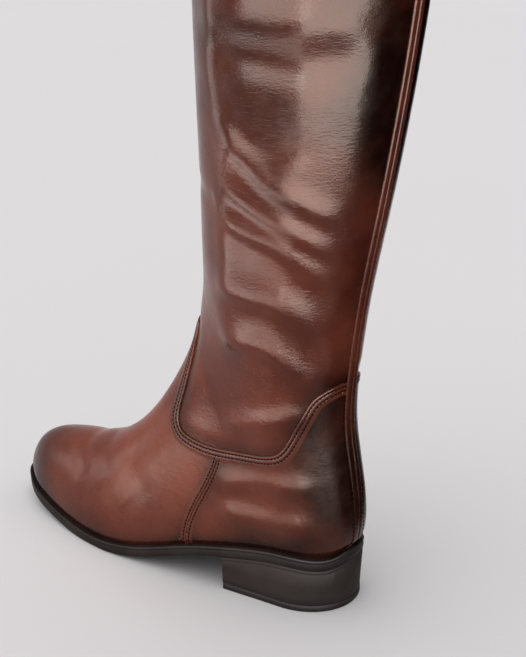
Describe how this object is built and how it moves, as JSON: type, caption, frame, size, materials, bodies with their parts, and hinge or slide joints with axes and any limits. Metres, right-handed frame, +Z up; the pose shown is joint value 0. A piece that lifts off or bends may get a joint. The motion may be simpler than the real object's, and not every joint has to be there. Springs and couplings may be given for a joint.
{
  "type": "knee-high boot",
  "caption": "Left knee-high leather riding boot with a lapped foot part, a low block heel, rolled back-seam strips and an elastic gusset at the top.",
  "frame": {"origin": "on the floor under the middle of the heel, in the plane of the heel's bottom face", "axes": "+X towards the toe, +Y to the wearer's left (the outer side of this left boot), +Z up the shaft"},
  "size_m": [0.3085, 0.114, 0.415],
  "materials": {
    "upper_leather": "burnished reddish brown calf leather, satin",
    "shaft_leather": "polished reddish brown calf leather, glossy",
    "elastic": "ribbed elastic webbing, greenish black",
    "insole_leather": "natural tan sock leather, matt",
    "outsole_rubber": "dark brown black moulded sole, satin",
    "heel_block": "dark brown lacquered stacked heel, satin",
    "top_piece_rubber": "black moulded rubber, matt"
  },
  "bodies": {
    "root": {"upper": "upper_leather", "shaft": "shaft_leather", "stretch_gusset": "elastic", "insole": "insole_leather", "outsole": "outsole_rubber", "heel": "heel_block", "heel_top_piece": "top_piece_rubber"}
  },
  "joints": []
}
